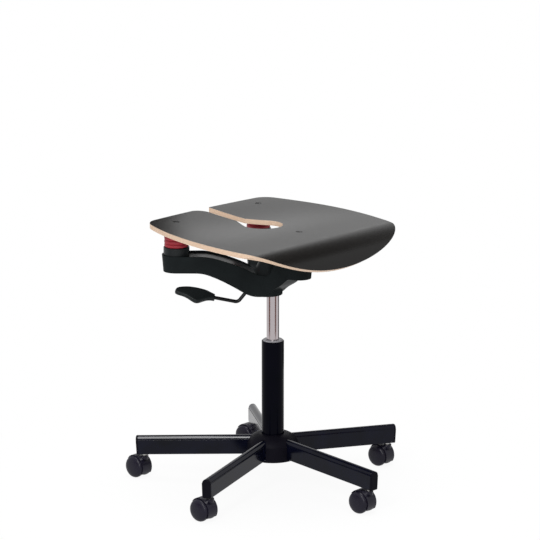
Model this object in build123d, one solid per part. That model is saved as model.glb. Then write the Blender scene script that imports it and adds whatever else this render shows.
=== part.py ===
from build123d import *
from math import asin, atan, cos, degrees, pi, radians, sin, sqrt, tan
import os

# A height-adjustable swivel stool. Millimetres, +Z up, the sitter faces -Y.
# The origin is on the floor, under the axis of the column.

# Fits
RUNNING = 0.05          # radial play of a shaft in its bore
SEATED = 0.3            # play between a loose cover and what it covers
FACE_PLAY = 0.1         # play between two flat faces that turn on each other
CUT_SPARE = 1.0         # cuts run this far past the faces they open

# Casters
CASTER_COUNT = 5
WHEEL_D = 50.0
WHEEL_WIDTH = 16.0
WHEEL_DOME = 2.2        # swell of the outer wheel face
WHEEL_RIM = 4.0         # rounding of the tread's outer edge
WHEEL_DISH = 3.0        # hollow of the inner wheel face
CASTER_TRAIL = 18.0
WHEEL_HUB = 4.0         # wall round the axle
WHEEL_PLAY = 0.5        # axle end to the closed end of its bore
WEB_THICK = 10.0        # body between the two wheels
WEB_PLAY = 0.7
HOOD_PLAY = 0.9         # hood to tread
HOOD_WALL = 1.8
HOOD_WIDTH = 37.0
HOOD_FROM = 40.0        # roof begins above the trailing side, degrees from level
HOOD_TO = 212.0         # and ends below level in front
HOOD_BOSS_D = 19.0
HOOD_BOSS_FLOOR = 1.0   # boss below the end of the stem
AXLE_D = 6.0
AXLE_LENGTH = 36.0
STEM_D = 11.0
STEM_DEPTH = 8.0        # stem held in the hood's boss
STEM_SHOW = 3.4         # stem seen between hood and arm
STEM_IN_ARM = 30.0
STEM_TIP = 1.5

# Base
ARM_BEARING = -94.2     # first arm, degrees from +X
ARM_TILT = 3.2          # rise towards the hub, degrees
ARM_REACH = 312.0       # column axis to the outer face of an end cap
ARM_WIDTH = 21.0
ARM_DEPTH = 43.0
ARM_ARCH = 9.5          # rise of the rounded top
ARM_SHOULDER = 0.9      # ledge where the rounded top begins
ARM_EDGE = 2.5          # rounding of the lower edges
ARM_WALL = 2.0
CAP_THICK = 5.0
CAP_PLUG = 2.0
CAP_EDGE = 2.0
SOCKET_INSET = 16.0     # stem axis to the end cap's outer face
SOCKET_D = 16.0
SOCKET_LENGTH = 32.0
SLEEVE_D = 60.0
SLEEVE_LENGTH = 46.0
SLEEVE_BELOW = 5.0      # sleeve below the roots of the arms
HUB_COVER_D = 114.0
HUB_COVER_WALL = 3.0
HUB_COVER_RISE = 22.0   # dome above the arms
HUB_COVER_SKIRT = 33.0
HUB_COVER_NECK = 3.0    # flat ring round the column
HUB_COVER_EAVE = 1.0    # edge of the dome above the arms
DOME_OUT = 0.72         # where the dome is fullest, as shares of its width and rise
DOME_UP = 0.62

# Column and gas lift
COLUMN_D = 50.0
COLUMN_WALL = 2.0
COLUMN_TOP = 335.0
COLUMN_FOOT = 62.0
FOOT_THICK = 4.0
TUBE_EDGE = 0.8
BUSH_LENGTH = 70.0
BUSH_FLANGE_D = 45.0
BUSH_FLANGE = 2.5
BUSH_EDGE = 1.2
LIFT_D = 28.0
LIFT_WALL = 1.5
LIFT_FOOT = 231.0       # lower end of the gas cylinder at this height setting
LIFT_PLUG = 12.0
TAPER_LENGTH = 40.0
TAPER_ANGLE = 1.43      # half angle of the cone that grips the carrier, degrees
LIFT_NOSE = 4.0         # cylinder above the carrier's socket
ROD_D = 10.0
ROD_COLLAR_D = 20.0
ROD_COLLAR = 5.0
ROD_TAIL = 2.0          # rod below its clip
BEARING_D = 32.0
BEARING_THICK = 6.0
BEARING_PLAY = 1.0      # inside the races
CAGE_THICK = 2.0
CAGE_INSET = 2.0
CLIP_D = 16.0
CLIP_THICK = 1.2
CLIP_MOUTH = 7.0
PISTON_PLAY = 0.2
PISTON_THICK = 14.0
PISTON_REST = 2.0       # above the cylinder's plug at full height
SEAL_THICK = 3.0
SEAL_DEPTH = 1.5
LIFT_UP = 15.0          # travel left above this height setting
VALVE_D = 6.0
VALVE_SHOW = 9.0
VALVE_FOOT = 4.0        # pin above the floor of its chamber
VALVE_TIP_R = 2.0
NOSE_ROOM = 2.0         # room round the cylinder's nose

# Carrier: a hub with three arms that rise to the mounts of the seat
HUB_BACK = 18.0         # hub centre behind the column axis
HUB_R = 39.0
HUB_BOTTOM = 439.0
HUB_RIM = 488.0
END_R = 32.5
END_BOTTOM = 493.0
END_RIM = 531.0
REAR_ROOT_R = 38.0      # arms where they leave the hub
FRONT_ROOT_R = 36.0
FRONT_R = 30.0
FRONT_BOTTOM = 489.0
FRONT_RIM = 527.0
CARRIER_DRAFT = 4.5     # degrees
CARRIER_SPARE = 20.0    # blanks run this far past the finished faces
RIM_WALL = 3.0
RIM_DEPTH = 4.0         # cover below the rim
COVER_THICK = 3.0
TOWER_BACK = 16.0
TOWER_BASE_R = 33.0
TOWER_TOP_R = 15.0
TOWER_HEIGHT = 44.0
TOWER_WALL = 2.5
TOWER_ROOF = 4.5
TOWER_EDGE = 5.0
REAR_MOUNT_X = 137.0
REAR_MOUNT_Y = 163.0
FRONT_MOUNT_Y = -76.0

# Suspension
COLLAR_D = 57.6
COLLAR_HEIGHT = 17.0    # above the rim
COLLAR_BORE = 44.0
COLLAR_EDGE = 1.5
BOOT_D = 54.0
BOOT_RIB = 2.6          # depth of a fold
BOOT_WALL = 1.6
BOOT_RIBS = 5
BOOT_CREST = 0.4        # flat of a fold, as a share of its pitch
BUFFER_D = 36.0
BUFFER_WAIST = 28.0
BUFFER_FOOT = 6.0
CUP_D = 52.0
CUP_THICK = 3.5
CUP_BOSS_D = 16.0
CUP_BOSS = 12.0
CUP_BOSS_ROOM = 4.0     # below the boss, inside the buffer
PIVOT_HEIGHT = 555.0
PIVOT_D = 10.0
PIVOT_EYE_D = 22.0
PIVOT_EYE_WIDTH = 26.0
PIVOT_POST_D = 34.0
BRACKET_THICK = 4.0
BRACKET_LENGTH = 40.0
BRACKET_PLAY = 0.4
BRACKET_EYE_R = 10.0

# Seat: bent plywood
SEAT_PLY = 10.5
SEAT_LEVEL = 596.8      # rim height over the column axis
SEAT_HALF_WIDTH = 246.3
SEAT_SIDE_R = 520.0
SEAT_SIDE_CENTRE = -27.8
SEAT_REAR = 205.8
SEAT_REAR_R = 2350.0
REAR_CORNER_R = 45.0
FRONT_ROUND_R = 249.0   # front edge and its corners
FRONT_LEAN = 62.3       # cut of the front edge, degrees from upright
FORE_SLOPE = 0.0607     # fall towards the front
FORE_CURVE = 0.00002
DISH_DEPTH = 6.5
DISH_CENTRE = 85.0
DISH_REACH = 165.0
LIP_START = 146.7       # where the front begins to roll over
LIP_R = 66.8
LIP_END_ANGLE = 80.0
LIP_SPARE = 10.0        # roll of the blank past its trimmed edge, degrees
SLOT_WIDTH = 28.0
SLOT_MOUTH_LEFT_R = 30.0
SLOT_MOUTH_RIGHT_R = 4.0
KEYHOLE_R = 44.5
KEYHOLE_CENTRE = 29.0
KEYHOLE_THROAT = 92.0   # where the keyhole runs out into the slot
SCREW_D = 6.0
SCREW_HEAD_D = 14.0
SCREW_HEAD = 4.0
SCREW_LENGTH = 20.5
SCREW_SINK = 0.4

# Release lever, in the upright plane that holds it
LEVER_BEARING = 140.0   # degrees from +X
LEVER_ROD_D = 8.0
LEVER_BEND_R = 11.0
LEVER_KNEE_OUT = 78.2   # from the column axis
LEVER_KNEE_Z = 425.5
LEVER_STEEP = 50.2      # fall of the run through the carrier, degrees
LEVER_PIVOT_OUT = 40.0
LEVER_PIN_D = 6.0
LEVER_PIN_LENGTH = 34.0
LEVER_EYE_D = 14.0
LEVER_EYE_WIDTH = 10.0
LEVER_RISE = 12.8       # degrees above level, outer run
LEVER_INNER_END = 5.0   # past the valve's axis
LEVER_SLOT_PLAY = 0.8
LEVER_SWEEP = 9.0       # room round the lever where it leaves the carrier
PADDLE_START = 54.0     # along the outer run, from the knee
PADDLE_LENGTH = 89.0
PADDLE_INNER = 18.0     # widest on the inner side
PADDLE_OUTER = 25.0     # widest on the outer side
PADDLE_NECK = 8.0
PADDLE_THICK = 11.0
PADDLE_EDGE = 4.0
PADDLE_ROLL = 33.0      # outer edge turned down, degrees
PADDLE_GRIP = 45.0      # rod inside the paddle

# Heights and radii that follow from the sizes above
wheel_r = WHEEL_D / 2
axle_half = AXLE_LENGTH / 2
hood_r = wheel_r + HOOD_PLAY + HOOD_WALL
hood_top = wheel_r + hood_r
arm_bottom = hood_top + STEM_SHOW
arm_top = arm_bottom + ARM_DEPTH
socket_reach = ARM_REACH - SOCKET_INSET
sleeve_bottom = arm_bottom + ARM_REACH * tan(radians(ARM_TILT)) - SLEEVE_BELOW
column_r = COLUMN_D / 2
column_bore_r = column_r - COLUMN_WALL
lift_r = LIFT_D / 2
lift_bore_r = lift_r - LIFT_WALL
taper_start = HUB_BOTTOM
taper_end = taper_start + TAPER_LENGTH
taper_end_r = lift_r - TAPER_LENGTH * tan(radians(TAPER_ANGLE))
lift_top = taper_end + LIFT_NOSE
valve_top = lift_top + VALVE_SHOW
lever_axis_z = valve_top + SEATED + LEVER_ROD_D / 2
cover_at_end = END_RIM - RIM_DEPTH
collar_top = END_RIM + COLLAR_HEIGHT
rear_mounts = [(-REAR_MOUNT_X, REAR_MOUNT_Y), (REAR_MOUNT_X, REAR_MOUNT_Y)]


def arm_bearings():
    return [ARM_BEARING + 360 / CASTER_COUNT * i for i in range(CASTER_COUNT)]


def ring(outer_r, inner_r, bottom, top):
    """An upright round sleeve on the Z axis."""
    wall = Circle(outer_r) - Circle(inner_r)
    return extrude(Pos(0, 0, bottom) * wall, top - bottom)


def rod(radius, bottom, top):
    return extrude(Pos(0, 0, bottom) * Circle(radius), top - bottom)


def cone(bottom_r, top_r, bottom, top):
    base = Pos(0, 0, (bottom + top) / 2)
    return base * Cone(bottom_r, top_r, top - bottom)


# Casters

def caster_wheel(side):
    """One wheel of the pair, closed and domed outside, hollow inside."""
    inner = WEB_THICK / 2 + WEB_PLAY
    floor = inner + WHEEL_DISH
    outer = inner + WHEEL_WIDTH
    edge = wheel_r - WHEEL_RIM
    hub_r = AXLE_D / 2 + WHEEL_HUB
    dome_r = (edge ** 2 + WHEEL_DOME ** 2) / (2 * WHEEL_DOME)
    lean = asin(edge / dome_r) / 2
    dome_mid = (outer + WHEEL_DOME - dome_r * (1 - cos(lean)), dome_r * sin(lean))
    with BuildSketch(Plane.XY) as half:
        with BuildLine():
            Polyline((outer + WHEEL_DOME, 0), (inner, 0), (inner, hub_r), (floor, hub_r + WHEEL_DISH),
                     (floor, edge - WHEEL_DISH), (inner, edge), (inner, wheel_r), (outer - WHEEL_RIM, wheel_r))
            TangentArc((outer - WHEEL_RIM, wheel_r), (outer, edge), tangent=(1, 0))
            ThreePointArc((outer, edge), dome_mid, (outer + WHEEL_DOME, 0))
        make_face()
    wheel = revolve(half.sketch, Axis.X)
    wheel -= extrude(Plane.YZ * Circle(AXLE_D / 2 + RUNNING), axle_half + WHEEL_PLAY)
    placed = Pos(0, CASTER_TRAIL, wheel_r) * wheel
    return placed if side > 0 else mirror(placed, Plane.YZ)


caster_side = Plane(origin=(0, CASTER_TRAIL, wheel_r), x_dir=(0, 1, 0), z_dir=(1, 0, 0))


def caster_hood():
    """Web between the wheels, a roof over both treads, and the stem's boss."""
    with BuildSketch() as sector:
        with BuildLine():
            arc = CenterArc((0, 0), hood_r, HOOD_FROM, HOOD_TO - HOOD_FROM)
            Polyline(arc @ 1, (0, 0), arc @ 0)
        make_face()
    roof = extrude(caster_side * sector.sketch, HOOD_WIDTH / 2, both=True)
    web_face = sector.sketch + Circle(AXLE_D / 2 + WHEEL_HUB)
    web = extrude(caster_side * web_face, WEB_THICK / 2, both=True)
    boss = rod(HOOD_BOSS_D / 2, hood_top - STEM_DEPTH - HOOD_BOSS_FLOOR, hood_top)
    wheel_space = extrude(caster_side * Circle(hood_r - HOOD_WALL), HOOD_WIDTH, both=True)
    hood = roof + boss - wheel_space + web
    hood -= extrude(caster_side * Circle(AXLE_D / 2), WEB_THICK, both=True)
    return hood - rod(STEM_D / 2, hood_top - STEM_DEPTH, arm_bottom)


def caster_stem():
    top = arm_bottom + STEM_IN_ARM
    stem = rod(STEM_D / 2, hood_top - STEM_DEPTH, top)
    tip = stem.edges().group_by(Axis.Z)[-1]
    return chamfer(tip, STEM_TIP)


def caster_axle():
    return extrude(caster_side * Circle(AXLE_D / 2), axle_half, both=True)


# Base

def arm_section(margin=0.0):
    """Flat-sided section with a rounded top that springs from two small ledges."""
    half = ARM_WIDTH / 2 + margin
    arch = half - ARM_SHOULDER
    low = arm_bottom - margin
    spring = arm_top - ARM_ARCH
    with BuildSketch(Plane.YZ) as section:
        with BuildLine():
            FilletPolyline((-half, spring), (-half, low), (half, low), (half, spring), radius=ARM_EDGE)
            Line((half, spring), (arch, spring))
            ThreePointArc((arch, spring), (0, arm_top + margin), (-arch, spring))
            Line((-arch, spring), (-half, spring))
        make_face()
    return section.sketch


arm_slant = Pos(ARM_REACH, 0, arm_bottom) * Rot(0, ARM_TILT, 0) * Pos(-ARM_REACH, 0, -arm_bottom)


def along_arm(sketch, start, end):
    """Stretch of an arm between two distances from the column, rising towards the hub."""
    return arm_slant * extrude(Pos(start, 0, 0) * sketch, end - start)


def base_arm():
    tube_end = ARM_REACH - CAP_THICK
    tube = along_arm(arm_section() - arm_section(-ARM_WALL), 0, tube_end)
    tube -= rod(SLEEVE_D / 2, 0, COLUMN_TOP)
    stem_hole = rod(SOCKET_D / 2, 0, arm_bottom + ARM_DEPTH / 2)
    return tube - Pos(socket_reach, 0, 0) * stem_hole


def arm_end_cap():
    tube_end = ARM_REACH - CAP_THICK
    plate = extrude(Pos(tube_end, 0, 0) * arm_section(), CAP_THICK)
    plate = fillet(plate.faces().sort_by(Axis.X)[-1].edges(), CAP_EDGE)
    plug = along_arm(arm_section(-ARM_WALL - SEATED), tube_end - CAP_PLUG, tube_end)
    return arm_slant * plate + plug


def caster_socket():
    bottom = arm_bottom + SOCKET_INSET * tan(radians(ARM_TILT))
    return Pos(socket_reach, 0, 0) * ring(SOCKET_D / 2, STEM_D / 2 + RUNNING, bottom, bottom + SOCKET_LENGTH)


def base_hub():
    return ring(SLEEVE_D / 2, column_r + RUNNING, sleeve_bottom, sleeve_bottom + SLEEVE_LENGTH)


def hub_cover():
    """Moulded dome over the roots of the arms, with a skirt that fills the gaps between them."""
    r = HUB_COVER_D / 2
    wall = HUB_COVER_WALL
    eave = arm_top + HUB_COVER_EAVE
    top = arm_top + HUB_COVER_RISE
    skirt = arm_top - HUB_COVER_SKIRT
    neck = column_r + SEATED
    full = (neck + (r - neck) * DOME_OUT, eave + (top - eave) * DOME_UP)
    inner_full = (full[0] - wall * cos(pi / 4), full[1] - wall * sin(pi / 4))
    with BuildSketch(Plane.XZ) as half:
        with BuildLine():
            Line((r, skirt), (r, eave))
            ThreePointArc((r, eave), full, (neck + HUB_COVER_NECK, top))
            Polyline((neck + HUB_COVER_NECK, top), (neck, top), (neck, top - wall))
            ThreePointArc((neck, top - wall), inner_full, (r - wall, eave - wall))
            Polyline((r - wall, eave - wall), (r - wall, skirt), (r, skirt))
        make_face()
    cover = revolve(half.sketch, Axis.Z)
    for bearing in arm_bearings():
        cover -= Rot(0, 0, bearing) * along_arm(arm_section(SEATED), 0, ARM_REACH)
    return cover - rod(SLEEVE_D / 2 + SEATED, 0, sleeve_bottom + SLEEVE_LENGTH)


# Column and gas lift

def column_tube():
    tube = ring(column_r, column_bore_r, COLUMN_FOOT, COLUMN_TOP)
    tube = chamfer(tube.edges().group_by(Axis.Z)[-1].sort_by(SortBy.RADIUS)[-1], TUBE_EDGE)
    foot = ring(column_bore_r, ROD_D / 2 + RUNNING, COLUMN_FOOT, COLUMN_FOOT + FOOT_THICK)
    return tube + foot


def column_bush():
    bore = lift_r + RUNNING
    body = ring(column_bore_r - RUNNING, bore, COLUMN_TOP - BUSH_LENGTH, COLUMN_TOP)
    flange = ring(BUSH_FLANGE_D / 2, bore, COLUMN_TOP, COLUMN_TOP + BUSH_FLANGE)
    flange = chamfer(flange.edges().group_by(Axis.Z)[-1].sort_by(SortBy.RADIUS)[-1], BUSH_EDGE)
    return body + flange


bearing_bottom = COLUMN_FOOT + FOOT_THICK
bearing_top = bearing_bottom + BEARING_THICK


def thrust_bearing():
    """Two races with a grooved cage between them."""
    r = BEARING_D / 2
    bearing = ring(r, ROD_D / 2 + BEARING_PLAY, bearing_bottom, bearing_top)
    middle = (bearing_bottom + bearing_top) / 2
    groove = ring(r + CUT_SPARE, r - CAGE_INSET, middle - CAGE_THICK / 2, middle + CAGE_THICK / 2)
    return bearing - groove


piston_bottom = LIFT_FOOT + LIFT_PLUG + LIFT_UP + PISTON_REST


def piston_rod():
    shaft = rod(ROD_D / 2, COLUMN_FOOT - CLIP_THICK - ROD_TAIL, piston_bottom)
    collar_bottom = bearing_top + FACE_PLAY
    collar = rod(ROD_COLLAR_D / 2, collar_bottom, collar_bottom + ROD_COLLAR)
    return shaft + collar


def retaining_clip():
    top = COLUMN_FOOT - FACE_PLAY
    clip = ring(CLIP_D / 2, ROD_D / 2, top - CLIP_THICK, top)
    mouth = Pos(0, -CLIP_D / 2, top) * Box(CLIP_MOUTH, CLIP_D - CLIP_MOUTH, 4 * CLIP_THICK)
    return clip - mouth


def piston():
    top = piston_bottom + PISTON_THICK
    body = rod(lift_bore_r - PISTON_PLAY, piston_bottom, top)
    middle = (piston_bottom + top) / 2
    seal = ring(lift_r, lift_bore_r - SEAL_DEPTH, middle - SEAL_THICK / 2, middle + SEAL_THICK / 2)
    return body - seal


def gas_cylinder():
    tube = rod(lift_r, LIFT_FOOT, taper_start)
    grip = cone(lift_r, taper_end_r, taper_start, taper_end)
    nose = rod(taper_end_r, taper_end, lift_top)
    body = tube + grip + nose
    chamber_top = taper_start + TAPER_LENGTH / 2
    body -= rod(lift_bore_r - LIFT_WALL, LIFT_FOOT + LIFT_PLUG, chamber_top)
    body -= rod(lift_bore_r, LIFT_FOOT + LIFT_PLUG, taper_start - VALVE_FOOT)
    body -= rod(ROD_D / 2 + RUNNING, LIFT_FOOT - CUT_SPARE, LIFT_FOOT + LIFT_PLUG + CUT_SPARE)
    return body - rod(VALVE_D / 2 + RUNNING, chamber_top - CUT_SPARE, lift_top + CUT_SPARE)


def valve_pin():
    pin = rod(VALVE_D / 2, taper_start + TAPER_LENGTH / 2 + VALVE_FOOT, valve_top)
    return fillet(pin.edges().group_by(Axis.Z)[-1], VALVE_TIP_R)


# Carrier

def side_outline(top, low):
    """Upright section along one arm between its upper and lower lines, level at hub and end."""
    near = -2 * HUB_R
    far = top[-1][0] + 3 * END_R
    with BuildSketch(Plane.XZ) as side:
        with BuildLine():
            for line in (top, low):
                Line((near, line[0][1]), line[0])
                Spline(*line, tangents=[(1, 0), (1, 0)])
                Line(line[-1], (far, line[-1][1]))
            Line((near, top[0][1]), (near, low[0][1]))
            Line((far, top[-1][1]), (far, low[-1][1]))
        make_face()
    return side.sketch


def arm_line(length, start, end, places, shares):
    """Points of an arm's upper or lower line: shares of the rise at shares of the length."""
    return [(place * length, start + share * (end - start)) for place, share in zip(places, shares)]


def rear_sides():
    length = sqrt(REAR_MOUNT_X ** 2 + (REAR_MOUNT_Y - HUB_BACK) ** 2)
    top = arm_line(length, HUB_RIM, END_RIM, (0.02, 0.2, 0.4, 0.62, 0.78), (0, 0.25, 0.64, 0.94, 1))
    low = arm_line(length, HUB_BOTTOM, END_BOTTOM, (0.1, 0.29, 0.51, 0.65, 0.82), (0, 0.24, 0.69, 0.91, 1))
    return length, top, low


def front_sides():
    length = HUB_BACK - FRONT_MOUNT_Y
    top = arm_line(length, HUB_RIM, FRONT_RIM, (0.2, 0.48, 0.76), (0, 0.5, 1))
    low = arm_line(length, HUB_BOTTOM, FRONT_BOTTOM, (0.08, 0.36, 0.63, 0.83, 1.0), (0, 0.27, 0.58, 0.87, 1))
    return length, top, low


def carrier_plan(length, root_r, end_r, rim, inset, z):
    """Hub and arm end joined by straight tangents, at one height of the drafted sides."""
    draft = tan(radians(CARRIER_DRAFT))
    hub = Circle(root_r + (z - HUB_RIM) * draft - inset)
    end = Circle(end_r + (z - rim) * draft - inset)
    return Pos(0, 0, z) * make_hull((hub + Pos(length, 0) * end).edges())


def carrier_arm(sides, root_r, end_r, bearing, inset, band):
    """One arm with its share of the hub. A band keeps the layer between two depths below the upper line."""
    length, top, low = sides
    rim = top[-1][1]
    heights = (HUB_BOTTOM - CARRIER_SPARE, rim + CARRIER_SPARE)
    prism = loft([carrier_plan(length, root_r, end_r, rim, inset, z) for z in heights], ruled=True)
    upper, lower = top, low
    if band:
        upper = [(x, z - band[0]) for x, z in top]
        lower = [(x, z - band[1]) for x, z in top]
    slab = extrude(side_outline(upper, lower), 2 * HUB_R, both=True)
    return Pos(0, HUB_BACK, 0) * Rot(0, 0, bearing) * (prism & slab)


def carrier_hub(inset, band):
    """Drafted round hub, which swallows the roots of the arms."""
    high, low = (HUB_RIM - depth for depth in band) if band else (HUB_RIM, HUB_BOTTOM)
    draft = tan(radians(CARRIER_DRAFT))
    low_r, high_r = (HUB_R + (z - HUB_RIM) * draft - inset for z in (low, high))
    return Pos(0, HUB_BACK, 0) * cone(low_r, high_r, low, high)


def carrier_layer(inset=0.0, band=None):
    rear = rear_sides()
    spread = degrees(atan(REAR_MOUNT_X / (REAR_MOUNT_Y - HUB_BACK)))
    layer = carrier_hub(inset, band)
    layer += carrier_arm(rear, REAR_ROOT_R, END_R, 90 - spread, inset, band)
    layer += carrier_arm(rear, REAR_ROOT_R, END_R, 90 + spread, inset, band)
    return layer + carrier_arm(front_sides(), FRONT_ROOT_R, FRONT_R, -90, inset, band)


lever_dir = Vector(cos(radians(LEVER_BEARING)), sin(radians(LEVER_BEARING)), 0)
lever_across = Vector(sin(radians(LEVER_BEARING)), -cos(radians(LEVER_BEARING)), 0)
lever_plane = Plane(origin=(0, 0, 0), x_dir=lever_dir, z_dir=lever_across)
lever_slope = tan(radians(LEVER_STEEP))
lever_shoulder = LEVER_KNEE_OUT - (lever_axis_z - LEVER_KNEE_Z) / lever_slope
lever_pivot_z = lever_axis_z - (LEVER_PIVOT_OUT - lever_shoulder) * lever_slope


def lever_room():
    """Slot in the carrier that the inner part of the lever swings in."""
    r = LEVER_EYE_D / 2
    inner = -LEVER_INNER_END - r
    roof = lever_axis_z + LEVER_ROD_D
    floor = LEVER_KNEE_Z - LEVER_ROD_D
    outer = LEVER_KNEE_OUT + LEVER_SWEEP
    points = [(inner, lift_top), (inner, roof), (LEVER_PIVOT_OUT + r, roof), (outer, LEVER_KNEE_Z), (outer, floor),
              (LEVER_KNEE_OUT - LEVER_SWEEP, floor), (LEVER_PIVOT_OUT - LEVER_SWEEP, lever_pivot_z - LEVER_SWEEP),
              (lift_r + LEVER_ROD_D / 2, lift_top)]
    outline = lever_plane * make_face(Polyline(*points, close=True))
    return extrude(outline, LEVER_EYE_WIDTH / 2 + LEVER_SLOT_PLAY, both=True)


def lever_pin_cut(play):
    at = Plane(origin=lever_plane.from_local_coords((LEVER_PIVOT_OUT, lever_pivot_z, 0)), z_dir=lever_across)
    return extrude(at * Circle(LEVER_PIN_D / 2 + play), LEVER_PIN_LENGTH / 2, both=True)


def carrier_housing():
    body = carrier_layer() - carrier_layer(RIM_WALL, (-CARRIER_SPARE, RIM_DEPTH + COVER_THICK))
    body -= cone(lift_r + RUNNING, taper_end_r + RUNNING, taper_start, taper_end)
    body -= rod(lift_r + NOSE_ROOM, taper_end, HUB_RIM + CARRIER_SPARE)
    body -= lever_room()
    return body - lever_pin_cut(0.0)


def carrier_cover():
    """Lid set below the rim, with a conical tower over the valve and the lever's inner end."""
    lid = carrier_layer(RIM_WALL + SEATED, (RIM_DEPTH, RIM_DEPTH + COVER_THICK))
    floor = HUB_RIM - RIM_DEPTH - COVER_THICK
    top = floor + TOWER_HEIGHT
    tower = cone(TOWER_BASE_R, TOWER_TOP_R, floor, top)
    tower = fillet(tower.edges().group_by(Axis.Z)[-1], TOWER_EDGE)
    room = cone(TOWER_BASE_R - TOWER_WALL, TOWER_TOP_R - TOWER_WALL, floor - CUT_SPARE, top - TOWER_ROOF)
    at = Pos(0, TOWER_BACK, 0)
    return lid + at * tower - at * room


# Seat

def seat_top(x, y):
    """Height of the upper face behind the rolled front."""
    rim = SEAT_LEVEL + FORE_SLOPE * y - FORE_CURVE * y ** 2
    along = min(1.0, abs(y - DISH_CENTRE) / DISH_REACH)
    across = max(0.0, 1 - (x / SEAT_HALF_WIDTH) ** 2)
    return rim - DISH_DEPTH * across * cos(pi / 2 * along) ** 2


def seat_slope(x, y):
    """Angle of the upper face along Y."""
    step = 0.01
    return atan((seat_top(x, y + step) - seat_top(x, y - step)) / (2 * step))


def lip_point(x, angle):
    """Upper face on the rolled front, where it has turned to the given slope angle."""
    start = seat_slope(x, -LIP_START)
    y = -LIP_START - LIP_R * (sin(angle) - sin(start))
    z = seat_top(x, -LIP_START) - LIP_R * (cos(start) - cos(angle))
    return (x, y, z)


def seat_section(x):
    """Upright section through the bent sheet, from behind the rear edge to past the front."""
    behind = 12
    rolled = 7
    rear = SEAT_REAR + SEAT_PLY
    start = seat_slope(x, -LIP_START)
    end = radians(LIP_END_ANGLE + LIP_SPARE)
    ys = [rear - (rear + LIP_START) * i / behind for i in range(behind)]
    angles = [start + (end - start) * i / (rolled - 1) for i in range(rolled)]
    top = [(y, seat_top(x, y)) for y in ys] + [lip_point(x, a)[1:] for a in angles]
    leans = [seat_slope(x, y) for y in ys] + angles
    low = [(y + SEAT_PLY * sin(a), z - SEAT_PLY * cos(a)) for (y, z), a in zip(top, leans)]
    with BuildSketch(Plane(origin=(x, 0, 0), x_dir=(0, 1, 0), z_dir=(1, 0, 0))) as section:
        with BuildLine():
            Spline(*top)
            Line(top[-1], low[-1])
            Spline(*reversed(low))
            Line(low[0], top[0])
        make_face()
    return section.sketch


def seat_sheet():
    sections = 9
    reach = SEAT_HALF_WIDTH + SEAT_PLY
    return loft([seat_section(reach * (2 * i / (sections - 1) - 1)) for i in range(sections)])


lip_end = lip_point(0, radians(LIP_END_ANGLE))


def seat_plan():
    """Sides, rear edge and rear corners, seen from above."""
    side = Circle(SEAT_SIDE_R)
    offset = SEAT_SIDE_R - SEAT_HALF_WIDTH
    outline = Pos(-offset, SEAT_SIDE_CENTRE) * side & Pos(offset, SEAT_SIDE_CENTRE) * side
    outline &= Pos(0, SEAT_REAR - SEAT_REAR_R) * Circle(SEAT_REAR_R)
    corners = outline.vertices().sort_by(Axis.Y)
    return fillet(corners[-2:], REAR_CORNER_R)


def front_blank(low, high):
    """Block with a round front that leans with the roll and trims the front edge and its corners."""
    lean = radians(FRONT_LEAN)
    middle = lip_end[1] + FRONT_ROUND_R + (lip_end[2] - low) * tan(lean)
    plan = Circle(FRONT_ROUND_R) + Pos(0, FRONT_ROUND_R) * Rectangle(2 * FRONT_ROUND_R, 2 * FRONT_ROUND_R)
    return extrude(Pos(0, middle, low) * plan, (high - low) / cos(lean), dir=(0, -sin(lean), cos(lean)))


def keyhole():
    """Round hole that runs out through a throat into the slot, whose mouth is rounded."""
    half = SLOT_WIDTH / 2
    round_hole = Pos(0, KEYHOLE_CENTRE) * Circle(KEYHOLE_R)
    throat = Pos(0, KEYHOLE_THROAT) * Circle(half)
    tear = make_hull((round_hole + throat).edges())
    slot = Pos(0, (KEYHOLE_THROAT + SEAT_REAR) / 2) * Rectangle(SLOT_WIDTH, SEAT_REAR - KEYHOLE_THROAT)
    opening = tear + slot
    for side, bend in ((-1, SLOT_MOUTH_LEFT_R), (1, SLOT_MOUTH_RIGHT_R)):
        corner = Pos(side * (half + bend / 2), SEAT_REAR) * Rectangle(bend, 2 * bend)
        opening += corner - Pos(side * (half + bend), SEAT_REAR - bend) * Circle(bend)
    return opening


def screw_places():
    return rear_mounts + [(0, FRONT_MOUNT_Y)]


def screw(x, y, play=0.0):
    top = seat_top(x, y) - SCREW_SINK
    head = cone(SCREW_D / 2 + play, SCREW_HEAD_D / 2 + play, top - SCREW_HEAD, top)
    shank = rod(SCREW_D / 2 + play, top - SCREW_LENGTH, top - SCREW_HEAD)
    return Pos(x, y, 0) * (head + shank)


def seat_shell():
    low = lip_end[2] - 2 * SEAT_PLY
    high = SEAT_LEVEL + 2 * SEAT_PLY
    shell = sheet & extrude(Pos(0, 0, low) * seat_plan(), high - low)
    shell &= front_blank(low, high)
    shell -= extrude(Pos(0, 0, low) * keyhole(), high - low)
    for x, y in screw_places():
        shell -= screw(x, y, SEATED)
        shell -= Pos(x, y, 0) * rod(SCREW_HEAD_D / 2 + SEATED, seat_top(x, y) - SCREW_SINK - SEATED, high)
    return shell


# Suspension of the seat

sheet = seat_sheet()
under_sheet = Pos(0, 0, -SEATED) * sheet


def under_seat(x, y):
    return seat_top(x, y) - SEAT_PLY


cup_top = under_seat(REAR_MOUNT_X, REAR_MOUNT_Y) - SEATED
cup_bottom = cup_top - CUP_THICK


def rear_collar():
    outer = ring(COLLAR_D / 2, COLLAR_BORE / 2, cover_at_end, collar_top)
    rim = outer.edges().group_by(Axis.Z)[-1].sort_by(SortBy.RADIUS)[-1]
    return fillet(rim, COLLAR_EDGE)


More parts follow.
